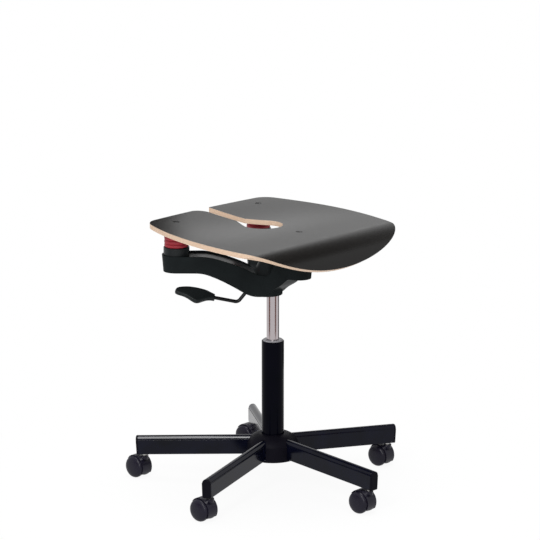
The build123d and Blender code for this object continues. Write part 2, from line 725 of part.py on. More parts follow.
def rear_boot():
    """Ribbed rubber sleeve from the collar to the cup, open right through."""
    bottom = collar_top + SEATED
    pitch = (cup_bottom - SEATED - bottom) / BOOT_RIBS
    crest = BOOT_D / 2
    root = crest - BOOT_RIB
    outside = []
    for i in range(BOOT_RIBS):
        z = bottom + i * pitch
        middle = z + pitch / 2
        flat = BOOT_CREST * pitch / 2
        outside += [(root, z), (crest, middle - flat), (crest, middle + flat)]
    outside.append((root, bottom + BOOT_RIBS * pitch))
    inside = [(r - BOOT_WALL, z) for r, z in reversed(outside)]
    section = Plane.XZ * make_face(Polyline(*outside, *inside, close=True))
    return revolve(section, Axis.Z)


def rear_buffer():
    """Waisted rubber spring that stands on the cover inside the collar."""
    bottom = cover_at_end
    top = cup_bottom - SEATED
    middle = (bottom + top) / 2
    r = BUFFER_D / 2
    with BuildSketch(Plane.XZ) as half:
        with BuildLine():
            Polyline((0, top), (0, bottom), (r, bottom), (r, bottom + BUFFER_FOOT))
            ThreePointArc((r, bottom + BUFFER_FOOT), (BUFFER_WAIST / 2, middle), (r, top - BUFFER_FOOT))
            Polyline((r, top - BUFFER_FOOT), (r, top), (0, top))
        make_face()
    body = revolve(half.sketch, Axis.Z)
    return body - rod(CUP_BOSS_D / 2 + SEATED, cup_bottom - CUP_BOSS - CUP_BOSS_ROOM, top + CUT_SPARE)


def rear_cup():
    """Plate whose upper face lies against the seat, with a threaded boss."""
    plate = rod(CUP_D / 2, cup_bottom, cup_top + CUP_THICK)
    boss = rod(CUP_BOSS_D / 2, cup_bottom - CUP_BOSS, cup_bottom)
    bore = rod(SCREW_D / 2 + RUNNING, cup_bottom - CUP_BOSS - CUT_SPARE, cup_top + 2 * CUP_THICK)
    return plate + boss - bore


def pivot_block():
    """Post on the front arm with a cross bore for the seat's pivot."""
    post = Pos(0, FRONT_MOUNT_Y, 0) * rod(PIVOT_POST_D / 2, cover_at_end, PIVOT_HEIGHT - PIVOT_EYE_D / 4)
    side = Plane(origin=(0, FRONT_MOUNT_Y, PIVOT_HEIGHT), z_dir=(1, 0, 0))
    eye = extrude(side * Circle(PIVOT_EYE_D / 2), PIVOT_EYE_WIDTH / 2, both=True)
    width = Pos(0, FRONT_MOUNT_Y, PIVOT_HEIGHT) * Box(PIVOT_EYE_WIDTH, 2 * PIVOT_POST_D, 4 * PIVOT_POST_D)
    block = post & width
    return block + eye - extrude(side * Circle(PIVOT_D / 2 + RUNNING), PIVOT_EYE_WIDTH, both=True)


bracket_inner = PIVOT_EYE_WIDTH / 2 + BRACKET_PLAY
bracket_outer = bracket_inner + BRACKET_THICK


def pivot_pin():
    side = Plane(origin=(0, FRONT_MOUNT_Y, PIVOT_HEIGHT), z_dir=(1, 0, 0))
    return extrude(side * Circle(PIVOT_D / 2), bracket_outer, both=True)


def seat_bracket():
    """Channel under the seat, tilted with it, whose two ears hold the pivot pin."""
    slope = degrees(seat_slope(0, FRONT_MOUNT_Y))
    top = under_seat(0, FRONT_MOUNT_Y) - 2 * SEATED
    place = Pos(0, FRONT_MOUNT_Y, top) * Rot(slope, 0, 0)
    plate = Pos(0, 0, -BRACKET_THICK / 2) * Box(2 * bracket_outer, BRACKET_LENGTH, BRACKET_THICK)
    drop = top - PIVOT_HEIGHT
    ear_face = make_hull((Pos(0, -BRACKET_THICK / 2) * Rectangle(BRACKET_LENGTH, BRACKET_THICK)
                          + Pos(0, -drop) * Circle(BRACKET_EYE_R)).edges())
    ear = extrude(Plane(origin=(bracket_inner, 0, 0), x_dir=(0, 1, 0), z_dir=(1, 0, 0)) * ear_face, BRACKET_THICK)
    channel = place * (plate + ear + mirror(ear, Plane.YZ))
    bore = Plane(origin=(0, FRONT_MOUNT_Y, PIVOT_HEIGHT), z_dir=(1, 0, 0)) * Circle(PIVOT_D / 2)
    channel -= extrude(bore, 2 * bracket_outer, both=True)
    return channel - screw(0, FRONT_MOUNT_Y, SEATED)


# Release lever

rise = radians(LEVER_RISE)


def outer_run(distance):
    return (LEVER_KNEE_OUT + distance * cos(rise), LEVER_KNEE_Z + distance * sin(rise))


def lever_rod():
    """Bent round bar: inner end over the valve, eye on the pivot, knee below the carrier, run to the paddle."""
    path = FilletPolyline((-LEVER_INNER_END, lever_axis_z), (lever_shoulder, lever_axis_z),
                          (LEVER_KNEE_OUT, LEVER_KNEE_Z), outer_run(PADDLE_START + PADDLE_GRIP), radius=LEVER_BEND_R)
    path = lever_plane * path
    start = Plane(origin=path @ 0, z_dir=path % 0)
    bar = sweep(start * Circle(LEVER_ROD_D / 2), path)
    eye_at = Plane(origin=lever_plane.from_local_coords((LEVER_PIVOT_OUT, lever_pivot_z, 0)), z_dir=lever_across)
    eye = extrude(eye_at * Circle(LEVER_EYE_D / 2), LEVER_EYE_WIDTH / 2, both=True)
    return bar + eye - lever_pin_cut(RUNNING)


def paddle_place():
    """Start of the paddle on the rod, rolled so that its outer edge hangs lower."""
    origin = lever_plane.from_local_coords((*outer_run(PADDLE_START), 0))
    along = lever_dir * cos(rise) + Vector(0, 0, sin(rise))
    level = Plane(origin=origin, x_dir=along, z_dir=lever_across.cross(along))
    return level.location * Rot(-PADDLE_ROLL, 0, 0)


def lever_paddle():
    """Leaf-shaped handle, fuller on its outer edge, pushed over the end of the rod."""
    long = PADDLE_LENGTH
    with BuildSketch() as leaf:
        with BuildLine():
            Spline((0, PADDLE_NECK), (0.22 * long, 0.52 * PADDLE_OUTER), (0.45 * long, PADDLE_OUTER),
                   (0.8 * long, 0.45 * PADDLE_OUTER), (long, 0), tangents=[(1, 0), (-0.2, -1)])
            Spline((long, 0), (0.86 * long, -0.66 * PADDLE_INNER), (0.55 * long, -PADDLE_INNER),
                   (0.2 * long, -0.86 * PADDLE_INNER), (0, -PADDLE_NECK), tangents=[(-0.2, -1), (-1, 0.4)])
            Line((0, -PADDLE_NECK), (0, PADDLE_NECK))
        make_face()
    blade = extrude(leaf.sketch, PADDLE_THICK / 2, both=True)
    blade = fillet(blade.edges().filter_by(GeomType.BSPLINE), PADDLE_EDGE)
    bore = extrude(Plane.YZ * Circle(LEVER_ROD_D / 2 + RUNNING), PADDLE_GRIP + RUNNING)
    return paddle_place() * (blade - bore)


def main():
    os.makedirs("parts", exist_ok=True)
    nodes = {
        "base_hub": base_hub(),
        "hub_cover": hub_cover(),
        "column_tube": column_tube(),
        "column_bush": column_bush(),
        "thrust_bearing": thrust_bearing(),
        "piston_rod": piston_rod(),
        "piston": piston(),
        "retaining_clip": retaining_clip(),
        "gas_cylinder": gas_cylinder(),
        "valve_pin": valve_pin(),
        "carrier_housing": carrier_housing(),
        "carrier_cover": carrier_cover(),
        "lever_rod": lever_rod(),
        "lever_paddle": lever_paddle(),
        "lever_pin": lever_pin_cut(0.0),
        "pivot_block": pivot_block(),
        "pivot_pin": pivot_pin(),
        "seat_bracket": seat_bracket(),
        "seat_shell": seat_shell(),
        "seat_screws": Compound([screw(x, y) for x, y in screw_places()]),
    }
    for side, (x, y) in zip(("left", "right"), reversed(rear_mounts)):
        place = Pos(x, y, 0)
        nodes[f"rear_collar_{side}"] = place * rear_collar()
        nodes[f"rear_boot_{side}"] = place * rear_boot()
        nodes[f"rear_buffer_{side}"] = place * rear_buffer()
        nodes[f"rear_cup_{side}"] = place * rear_cup() - under_sheet
    arm, cap, socket = base_arm(), arm_end_cap(), caster_socket()
    hood, stem, axle = caster_hood(), caster_stem(), caster_axle()
    left_wheel, right_wheel = caster_wheel(1), caster_wheel(-1)
    caps = []
    sockets = []
    for number, bearing in enumerate(arm_bearings(), 1):
        turn = Rot(0, 0, bearing)
        nodes[f"base_arm_{number}"] = turn * arm
        caps.append(turn * cap)
        sockets.append(turn * socket)
        place = Pos(socket_reach * cos(radians(bearing)), socket_reach * sin(radians(bearing)), 0)
        nodes[f"caster_hood_{number}"] = place * hood
        nodes[f"caster_stem_{number}"] = place * stem
        nodes[f"caster_axle_{number}"] = place * axle
        nodes[f"caster_wheel_left_{number}"] = place * left_wheel
        nodes[f"caster_wheel_right_{number}"] = place * right_wheel
    nodes["arm_end_caps"] = Compound(caps)
    nodes["caster_sockets"] = Compound(sockets)
    for name, shape in nodes.items():
        export_step(shape, f"parts/{name}.step")


main()
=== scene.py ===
from math import atan, atan2, cos, hypot, pi, radians, sin

import bmesh
import bpy
from mathutils import Matrix, Vector


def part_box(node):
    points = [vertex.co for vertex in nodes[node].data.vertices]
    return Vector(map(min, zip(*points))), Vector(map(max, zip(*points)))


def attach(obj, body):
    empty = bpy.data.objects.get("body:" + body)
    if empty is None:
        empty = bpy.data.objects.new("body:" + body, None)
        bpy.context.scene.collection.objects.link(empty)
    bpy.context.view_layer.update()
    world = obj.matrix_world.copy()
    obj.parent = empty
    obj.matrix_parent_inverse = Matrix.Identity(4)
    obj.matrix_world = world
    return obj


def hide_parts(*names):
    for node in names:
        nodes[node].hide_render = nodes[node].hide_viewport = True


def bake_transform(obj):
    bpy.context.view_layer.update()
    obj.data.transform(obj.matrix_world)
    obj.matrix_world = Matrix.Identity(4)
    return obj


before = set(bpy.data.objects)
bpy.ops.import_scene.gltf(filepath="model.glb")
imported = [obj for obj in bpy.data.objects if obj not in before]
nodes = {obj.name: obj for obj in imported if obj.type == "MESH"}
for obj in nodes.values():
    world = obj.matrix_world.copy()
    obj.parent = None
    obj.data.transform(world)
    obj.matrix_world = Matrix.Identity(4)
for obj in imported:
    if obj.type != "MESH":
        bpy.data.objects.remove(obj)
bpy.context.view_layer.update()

scene = bpy.context.scene
MM = 0.001
SIDES = ("left", "right")
CASTER_NUMBERS = range(1, 6)

# Seat sheet, in millimetres, as the part has it
SEAT_PLY = 10.5
SEAT_LEVEL = 596.8
SEAT_HALF_WIDTH = 246.3
FORE_SLOPE = 0.0607
FORE_CURVE = 0.00002
DISH_DEPTH = 6.5
DISH_CENTRE = 85.0
DISH_REACH = 165.0
LIP_START = 146.7
LIP_R = 66.8
LIP_MARGIN = 4.0  # the roll's own curve is used from this far behind its start
SLOPE_STEP = 0.5  # over which the sheet's slope is measured
FACING_SHARE = 0.12  # of the sheet's depth, taken as its upper or lower face
VENEERS = 9

# Seat screws, in millimetres: a countersunk head with a broken edge, and a hexagon socket
SCREW_PLACES = [(-137.0, 163.0), (137.0, 163.0), (0.0, -76.0)]
SCREW_SINK = 0.4
SCREW_HEAD_D = 14.0
SCREW_EDGE = 0.4
SCREW_EDGE_DEPTH = 0.3
SCREW_LAND_DEPTH = 0.5
SCREW_CONE_DEPTH = 4.0
SCREW_SHANK_R = 3.0
SCREW_LENGTH = 20.5
SOCKET_SIDES = 6
SOCKET_R = 2.3
SOCKET_DEPTH = 2.6

# Rubber boots and buffers, in millimetres
BOOT_FOLDS = 5
FOLD_DEPTH = 2.0
BOOT_WALL = 1.8
BUFFER_CHAMFER = 1.5
BUFFER_BORE_R = 8.4
BUFFER_BORE_DEPTH = 16.0

# Casters, in millimetres and radians: the wheels' play on their axle, and the hoods' trim and thinned tail
AXLE_PLAY = 0.2
AXLE_END_PLAY = 0.5
HOOD_HALF_WIDTH = 14.5
HOOD_INNER_R = 25.95
HOOD_TAIL = radians(40.0)
HOOD_TAPER = radians(32.0)
HOOD_THINNING = 0.85  # share of the roof's thickness that the tail loses

# Distances in metres that count as none, and steps of a full turn
CAD_MERGE = 0.005 * MM
SPIN_MERGE = 0.002 * MM
LEVEL_MARGIN = 1e-7
ROUND_STEPS = 72
BUFFER_STEPS = 48
SCREW_STEPS = 48

# Camera of the photograph, in metres, with its sensor and lens in millimetres
CAMERA_PLACE = (-3.896, -3.387, 1.673)
CAMERA_AIM = (0, 0, 0.4809)
CAMERA_REACH = 100.0
SENSOR_WIDTH = 36.0
LENS = 159.5
SHIFT_X = -0.0052
SHIFT_Y = 0.0117

# Floor, in metres: between the two radii it turns from nearly white, which keeps the shadow, to white
FLOOR_R = 14.0
FLOOR_STEPS = 96
SHADOW_R = 0.25
WHITE_R = 0.75
SHADOW_WHITE = 0.93

# The surround shows white, and lights the object with a share of that
WHITE = (1, 1, 1, 1)
SURROUND_LIGHT = 0.5

# A Mix node's colour sockets go by number, because its other kinds have the same names
COLOUR_A = 6
COLOUR_B = 7
MIXED_COLOUR = 2

# Samples of a softened edge, and the range that most of a noise lies in
BEVEL_SAMPLES = 4
NOISE_LOW = 0.3
NOISE_HIGH = 0.7


def linear(hex_colour):
    """sRGB hex to the linear colour that a shader takes."""
    parts = [int(hex_colour[i:i + 2], 16) / 255 for i in (1, 3, 5)]
    return tuple(p / 12.92 if p <= 0.04045 else ((p + 0.055) / 1.055) ** 2.4 for p in parts) + (1.0,)


def feed(tree, node, inputs):
    """Gives a node its inputs, which are values, or sockets to link."""
    for name, value in inputs.items():
        if isinstance(value, bpy.types.NodeSocket):
            tree.links.new(value, node.inputs[name])
        else:
            node.inputs[name].default_value = value


def add(tree, kind, inputs=None, **settings):
    """Adds one node with its settings and inputs."""
    node = tree.nodes.new(kind)
    for name, value in settings.items():
        setattr(node, name, value)
    feed(tree, node, inputs or {})
    return node


def material(name, ior=None):
    """A new material with its nodes and its shader."""
    made = bpy.data.materials.new(name)
    made.use_nodes = True
    shader = made.node_tree.nodes["Principled BSDF"]
    if ior:
        shader.inputs["IOR"].default_value = ior
    return made, made.node_tree, shader


def moulded(name, dark, light, rough, ior, grain_mm, bump, edge_mm):
    """Pigmented surface: fine grain, slight cloudiness in colour and gloss, softly broken edges."""
    cloud_mm, relief_mm, gloss_spread = 60, 0.1, 0.03
    made, tree, shader = material(name, ior)
    place = add(tree, "ShaderNodeTexCoord").outputs["Object"]
    cloud = add(tree, "ShaderNodeTexNoise", {"Vector": place, "Scale": 1 / (cloud_mm * MM), "Detail": 3.0})
    share = add(tree, "ShaderNodeMapRange", {"Value": cloud.outputs["Fac"], "From Min": NOISE_LOW,
                                             "From Max": NOISE_HIGH})
    colour = add(tree, "ShaderNodeMix", {"Factor": share.outputs["Result"], COLOUR_A: linear(dark),
                                         COLOUR_B: linear(light)}, data_type="RGBA")
    gloss = add(tree, "ShaderNodeMapRange", {"Value": share.outputs["Result"],
                                             "To Min": rough - gloss_spread, "To Max": rough + gloss_spread})
    grain = add(tree, "ShaderNodeTexNoise", {"Vector": place, "Scale": 1 / (grain_mm * MM), "Detail": 2.0})
    edge = add(tree, "ShaderNodeBevel", {"Radius": edge_mm * MM}, samples=BEVEL_SAMPLES)
    relief = add(tree, "ShaderNodeBump", {"Height": grain.outputs["Fac"], "Strength": bump,
                                          "Distance": relief_mm * MM, "Normal": edge.outputs["Normal"]})
    feed(tree, shader, {"Base Color": colour.outputs[MIXED_COLOUR], "Roughness": gloss.outputs["Result"],
                        "Normal": relief.outputs["Normal"]})
    return made


def machined(name, bright, dull, rough, line_mm, edge_mm):
    """Metal turned or ground round an upright axis: faint rings that change its gloss a little."""
    ring_squeeze, gloss_spread = 0.02, 0.2
    made, tree, shader = material(name)
    shader.inputs["Metallic"].default_value = 1.0
    place = add(tree, "ShaderNodeTexCoord").outputs["Object"]
    rings = add(tree, "ShaderNodeMapping", {"Vector": place, "Scale": (ring_squeeze, ring_squeeze, 1.0)})
    line = add(tree, "ShaderNodeTexNoise", {"Vector": rings.outputs["Vector"], "Scale": 1 / (line_mm * MM),
                                            "Detail": 4.0})
    colour = add(tree, "ShaderNodeMix", {"Factor": line.outputs["Fac"], COLOUR_A: linear(dull),
                                         COLOUR_B: linear(bright)}, data_type="RGBA")
    gloss = add(tree, "ShaderNodeMapRange", {"Value": line.outputs["Fac"],
                                             "To Min": rough * (1 - gloss_spread),
                                             "To Max": rough * (1 + gloss_spread)})
    edge = add(tree, "ShaderNodeBevel", {"Radius": edge_mm * MM}, samples=BEVEL_SAMPLES)
    feed(tree, shader, {"Base Color": colour.outputs[MIXED_COLOUR], "Roughness": gloss.outputs["Result"],
                        "Normal": edge.outputs["Normal"]})
    return made


def pressed_laminate():
    """Black laminate with a pressed matt grain: near black straight on, a soft grey sheen along it."""
    cloud_mm, grain_mm, relief_mm, edge_mm = 90, 0.9, 0.06, 0.8
    made, tree, shader = material("black_pressed_laminate", 1.3)
    place = add(tree, "ShaderNodeTexCoord").outputs["Object"]
    cloud = add(tree, "ShaderNodeTexNoise", {"Vector": place, "Scale": 1 / (cloud_mm * MM), "Detail": 4.0})
    colour = add(tree, "ShaderNodeMix", {"Factor": cloud.outputs["Fac"], COLOUR_A: linear("#060504"),
                                         COLOUR_B: linear("#0b0908")}, data_type="RGBA")
    grain = add(tree, "ShaderNodeTexNoise", {"Vector": place, "Scale": 1 / (grain_mm * MM), "Detail": 3.0})
    gloss = add(tree, "ShaderNodeMapRange", {"Value": grain.outputs["Fac"], "To Min": 0.23, "To Max": 0.31})
    edge = add(tree, "ShaderNodeBevel", {"Radius": edge_mm * MM}, samples=BEVEL_SAMPLES)
    relief = add(tree, "ShaderNodeBump", {"Height": grain.outputs["Fac"], "Strength": 0.1,
                                          "Distance": relief_mm * MM, "Normal": edge.outputs["Normal"]})
    feed(tree, shader, {"Base Color": colour.outputs[MIXED_COLOUR], "Roughness": gloss.outputs["Result"],
                        "Normal": relief.outputs["Normal"]})
    return made


def ply_edge():
    """Sanded and lacquered edge of beech plywood: cross-laid veneers, darker where they show end grain."""
    waver_mm, waver_share, fibre_mm, relief_mm, edge_mm = 25, 0.04, 2.2, 0.1, 0.8
    band_blur = 0.45
    made, tree, shader = material("lacquered_beech_ply_edge", 1.4)
    depth = add(tree, "ShaderNodeAttribute", attribute_name="sheet_depth").outputs["Fac"]
    place = add(tree, "ShaderNodeTexCoord").outputs["Object"]
    waver = add(tree, "ShaderNodeTexNoise", {"Vector": place, "Scale": 1 / (waver_mm * MM), "Detail": 3.0})
    bent = add(tree, "ShaderNodeMath", {0: waver.outputs["Fac"], 1: waver_share, 2: depth},
               operation="MULTIPLY_ADD")
    turns = add(tree, "ShaderNodeMath", {0: bent.outputs["Value"], 1: VENEERS * pi}, operation="MULTIPLY")
    wave = add(tree, "ShaderNodeMath", {0: turns.outputs["Value"]}, operation="SINE")
    band = add(tree, "ShaderNodeMapRange", {"Value": wave.outputs["Value"], "From Min": -band_blur,
                                            "From Max": band_blur})
    plies = add(tree, "ShaderNodeMix", {"Factor": band.outputs["Result"], COLOUR_A: linear("#c0a287"),
                                        COLOUR_B: linear("#eedac6")}, data_type="RGBA")
    fibre = add(tree, "ShaderNodeTexNoise", {"Vector": place, "Scale": 1 / (fibre_mm * MM), "Detail": 5.0})
    tint = add(tree, "ShaderNodeMix", {"Factor": fibre.outputs["Fac"], COLOUR_A: linear("#b89a80"),
                                       COLOUR_B: linear("#ffffff")}, data_type="RGBA")
    wood = add(tree, "ShaderNodeMix", {"Factor": 0.6, COLOUR_A: plies.outputs[MIXED_COLOUR],
                                       COLOUR_B: tint.outputs[MIXED_COLOUR]},
               data_type="RGBA", blend_type="MULTIPLY")
    edge = add(tree, "ShaderNodeBevel", {"Radius": edge_mm * MM}, samples=BEVEL_SAMPLES)
    relief = add(tree, "ShaderNodeBump", {"Height": fibre.outputs["Fac"], "Strength": 0.2,
                                          "Distance": relief_mm * MM, "Normal": edge.outputs["Normal"]})
    feed(tree, shader, {"Base Color": wood.outputs[MIXED_COLOUR], "Roughness": 0.45,
                        "Normal": relief.outputs["Normal"]})
    return made


# Grain, tool marks and wood fibre are finer than a pixel, so they are drawn coarser, at about 1 to 2 mm

# Baked enamel on steel tube: deep black with a bluish gloss and a slight orange-peel
enamel = moulded("gloss_black_baked_enamel", "#05060f", "#0a0c1d",
                 rough=0.12, ior=1.24, grain_mm=6.0, bump=0.006, edge_mm=0.3)
# The column has the same enamel, copied with a darker base and weaker reflection: painted shade that keeps
# the white surround from greying the round tube
column_enamel = moulded("darkened_copy_of_baked_enamel", "#010208", "#03030c",
                        rough=0.1, ior=1.12, grain_mm=6.0, bump=0.004, edge_mm=1.0)
# Glass-filled nylon carrier: fine spark-eroded mould grain, satin
carrier_nylon = moulded("grained_black_nylon", "#181b1c", "#1f2324",
                        rough=0.36, ior=1.07, grain_mm=0.9, bump=0.15, edge_mm=2.5)
# Black nylon a shade paler than the housing, its rims catching the light; the paler tone is partly painted
# light, lifting the pivot block and lever paddle out of the seat's shade
lightened_nylon = moulded("lightened_black_nylon", "#1c1f20", "#242728",
                      rough=0.3, ior=1.2, grain_mm=0.9, bump=0.1, edge_mm=2.5)
# Polypropylene hub dome: matt mould grain
dome_polypropylene = moulded("matt_black_polypropylene", "#0c0b12", "#131219",
                             rough=0.42, ior=1.1, grain_mm=1.1, bump=0.2, edge_mm=1.0)
# Nylon casters: satin, smoother than the dome
caster_nylon = moulded("satin_black_nylon", "#12101b", "#181624",
                       rough=0.30, ior=1.27, grain_mm=1.0, bump=0.08, edge_mm=0.8)
# Acetal guide bush: pale, slightly waxy
bush_acetal = moulded("pale_grey_acetal", "#88878b", "#949398",
                      rough=0.38, ior=1.4, grain_mm=1.2, bump=0.1, edge_mm=0.5)
# Nitrile rubber buffers: matt, dense black
buffer_rubber = moulded("matt_black_nitrile", "#101010", "#181818",
                        rough=0.65, ior=1.3, grain_mm=0.8, bump=0.3, edge_mm=0.6)
# Natural rubber boots pigmented red: matt, a little chalky on the folds
boot_rubber = moulded("moulded_red_rubber", "#8f2631", "#a6303a",
                      rough=0.5, ior=1.35, grain_mm=1.0, bump=0.25, edge_mm=0.6)
# Satin enamel on the bent lever bar and the seat bracket: black with a soft shine
satin_enamel = moulded("satin_black_enamel", "#08080a", "#0d0d0f",
                       rough=0.26, ior=1.27, grain_mm=1.5, bump=0.08, edge_mm=0.5)
# Hard chrome on the ground cylinder: a clear mirror with hardly visible rings
chrome = machined("ground_hard_chrome", "#b4adaf", "#aca4a6", rough=0.08, line_mm=0.6, edge_mm=0.4)
# Turned bright steel of stems, axles and pins: pale, with faint rings
steel = machined("turned_bright_steel", "#bab9b7", "#9b9a98", rough=0.24, line_mm=0.8, edge_mm=0.4)
# Black-oxide steel of the screws: dark, with a dull metal sheen
oxide = machined("black_oxide_steel", "#2c2c2e", "#1e1e20", rough=0.38, line_mm=1.0, edge_mm=0.3)
laminate = pressed_laminate()
edge_wood = ply_edge()

# Each finish with the beginnings of its nodes' names, of which the longest that fits holds
finishes = {
    enamel: ["base_arm_", "base_hub"],
    column_enamel: ["column_tube"],
    dome_polypropylene: ["hub_cover", "arm_end_caps", "caster_sockets"],
    carrier_nylon: ["carrier_housing", "rear_cup_"],
    # The pivot block and lever paddle take the paler nylon as painted light against the seat's shade
    lightened_nylon: ["carrier_cover", "rear_collar_", "pivot_block", "lever_paddle"],
    caster_nylon: ["caster_hood_", "caster_wheel_"],
    bush_acetal: ["column_bush", "piston"],
    chrome: ["gas_cylinder"],
    steel: ["caster_stem_", "caster_axle_", "thrust_bearing", "piston_rod", "retaining_clip", "valve_pin",
            "lever_pin", "pivot_pin"],
    satin_enamel: ["lever_rod", "seat_bracket"],
    oxide: ["seat_screws"],
    buffer_rubber: ["rear_buffer_"],
    boot_rubber: ["rear_boot_"],
    laminate: ["seat_shell"],
}
for name, node in nodes.items():
    fits = [(len(stem), made) for made, stems in finishes.items()
            for stem in stems if name.startswith(stem)]
    node.data.materials.clear()
    node.data.materials.append(max(fits, key=lambda fit: fit[0])[1])


def new_piece(name, shape, *looks):
    """A bmesh as a named object at the origin."""
    mesh = bpy.data.meshes.new(name)
    shape.to_mesh(mesh)
    shape.free()
    for look in looks:
        mesh.materials.append(look)
    piece = bpy.data.objects.new(name, mesh)
    scene.collection.objects.link(piece)
    return piece


def smooth(piece, degrees):
    """Shades a piece smooth, apart from edges sharper than the angle."""
    piece.data.shade_smooth()
    piece.data.set_sharp_from_angle(angle=radians(degrees))


def of_kind(kind, geometry):
    """The vertices or edges in what an operator gives back."""
    return [item for item in geometry if isinstance(item, kind)]


def merged_copy(node):
    """A CAD node's loose triangles as one joined bmesh."""
    shape = bmesh.new()
    shape.from_mesh(nodes[node].data)
    bmesh.ops.remove_doubles(shape, verts=shape.verts, dist=CAD_MERGE)
    return shape


def spun(points, axis, centre, steps):
    """A line of points, in metres, spun a full turn round an axis and moved to its centre."""
    shape = bmesh.new()
    verts = [shape.verts.new(point) for point in points]
    edges = [shape.edges.new(pair) for pair in zip(verts, verts[1:])]
    bmesh.ops.spin(shape, geom=verts + edges, cent=(0, 0, 0), axis=axis, angle=2 * pi, steps=steps,
                   use_merge=True)
    bmesh.ops.remove_doubles(shape, verts=shape.verts, dist=SPIN_MERGE)
    bmesh.ops.recalc_face_normals(shape, faces=shape.faces)
    bmesh.ops.translate(shape, verts=shape.verts, vec=centre)
    return shape


def turned(profile, centre, steps):
    """A ring or disc of (radius, height) points, in millimetres, round an upright axis."""
    return spun([(r * MM, 0, z * MM) for r, z in profile], (0, 0, 1), centre, steps)


# Seat: the part's sheet with its two faces and its sawn edge told apart

def sheet_height(x, y):
    rim = SEAT_LEVEL + FORE_SLOPE * y - FORE_CURVE * y ** 2
    along = min(1.0, abs(y - DISH_CENTRE) / DISH_REACH)
    across = max(0.0, 1 - (x / SEAT_HALF_WIDTH) ** 2)
    return rim - DISH_DEPTH * across * cos(pi / 2 * along) ** 2


def sheet_at(point):
    """Depth below the upper face, in millimetres, and the direction straight out of that face."""
    x, y, z = (c / MM for c in point)
    step = SLOPE_STEP
    if y > -LIP_START + LIP_MARGIN:
        fore = (sheet_height(x, y + step) - sheet_height(x, y - step)) / (2 * step)
        aside = (sheet_height(x + step, y) - sheet_height(x - step, y)) / (2 * step)
        out = Vector((-aside, -fore, 1)).normalized()
        return (sheet_height(x, y) - z) * out.z, out
    start = atan(FORE_SLOPE + 2 * FORE_CURVE * LIP_START)
    centre_y = -LIP_START + LIP_R * sin(start)
    centre_z = sheet_height(x, -LIP_START) - LIP_R * cos(start)
    reach = hypot(y - centre_y, z - centre_z)
    return LIP_R - reach, Vector((0, y - centre_y, z - centre_z)).normalized()


def even_sheet_shading(mesh):
    """Shades both faces by the sheet's own curve, so that the long triangles round the holes don't show."""
    normals = [corner.vector.copy() for corner in mesh.corner_normals]
    for face in mesh.polygons:
        if face.material_index == 0:
            for corner in face.loop_indices:
                out = sheet_at(mesh.vertices[mesh.loops[corner].vertex_index].co)[1]
                normals[corner] = out if face.normal.dot(out) > 0 else -out
    mesh.normals_split_custom_set(normals)


def in_countersink(face):
    """Whether a face lies within a head's width of a screw; such faces take the dark facing instead of bare
    wood.
    """
    middle = face.calc_center_median() / MM
    return any(hypot(middle.x - x, middle.y - y) < SCREW_HEAD_D for x, y in SCREW_PLACES)


def plywood_seat():
    """The sheet in laminate, with bare veneers on its sawn edge."""
    shape = merged_copy("seat_shell")
    depth = shape.verts.layers.float.new("sheet_depth")
    for vert in shape.verts:
        vert[depth] = sheet_at(vert.co)[0] / SEAT_PLY
    for face in shape.faces:
        share = [vert[depth] for vert in face.verts]
        faced = max(share) < FACING_SHARE or min(share) > 1 - FACING_SHARE
        face.material_index = 0 if faced or in_countersink(face) else 1
    piece = new_piece("plywood_seat", shape, laminate, edge_wood)
    smooth(piece, degrees=32)
    even_sheet_shading(piece.data)
    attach(piece, "seat")
    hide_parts("seat_shell")


def seat_screw(number, x, y):
    """Countersunk screw with a hexagon socket."""
    head = SCREW_HEAD_D / 2
    shape = bmesh.new()
    bmesh.ops.create_circle(shape, cap_ends=True, radius=SOCKET_R * MM, segments=SOCKET_SIDES)
    socket = shape.faces[:]
    floor = bmesh.ops.extrude_face_region(shape, geom=socket)["geom"]
    bmesh.ops.translate(shape, verts=of_kind(bmesh.types.BMVert, floor), vec=(0, 0, -SOCKET_DEPTH * MM))
    bmesh.ops.delete(shape, geom=socket, context="FACES")
    mouth = [e for e in shape.edges if all(abs(v.co.z) < LEVEL_MARGIN for v in e.verts)]
    cuts = SCREW_STEPS // SOCKET_SIDES - 1
    bmesh.ops.subdivide_edges(shape, edges=mouth, cuts=cuts, use_grid_fill=False)
    ring = [e for e in shape.edges if e.is_boundary]
    rim = bmesh.ops.create_circle(shape, cap_ends=False, radius=(head - SCREW_EDGE) * MM,
                                  segments=SCREW_STEPS)["verts"]
    edge = [e for e in shape.edges if all(v in rim for v in e.verts)]
    bmesh.ops.bridge_loops(shape, edges=ring + edge)
    for r, depth in ((head, SCREW_EDGE_DEPTH), (head, SCREW_LAND_DEPTH), (SCREW_SHANK_R, SCREW_CONE_DEPTH),
                     (SCREW_SHANK_R, SCREW_LENGTH)):
        grown = bmesh.ops.extrude_edge_only(shape, edges=edge)["geom"]
        verts = of_kind(bmesh.types.BMVert, grown)
        edge = [e for e in of_kind(bmesh.types.BMEdge, grown) if all(v in verts for v in e.verts)]
        for vert in verts:
            flat = vert.co.xy.normalized() * r * MM
            vert.co = (flat.x, flat.y, -depth * MM)
    bmesh.ops.contextual_create(shape, geom=edge)
    bmesh.ops.recalc_face_normals(shape, faces=shape.faces)
    seated = (x * MM, y * MM, (sheet_height(x, y) - SCREW_SINK) * MM)
    bmesh.ops.translate(shape, verts=shape.verts, vec=seated)
    piece = new_piece(f"socket_screw_{number}", shape, oxide)
    smooth(piece, degrees=35)
    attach(piece, "seat")
    return piece


# Rubber suspension between the carrier and the seat

def upright_span(node):
    """A round node's upright axis in metres, then its radius, bottom and top in millimetres."""
    low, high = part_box(node)
    axis = Vector(((low.x + high.x) / 2, (low.y + high.y) / 2, 0))
    return axis, (high.x - low.x) / 2 / MM, low.z / MM, high.z / MM


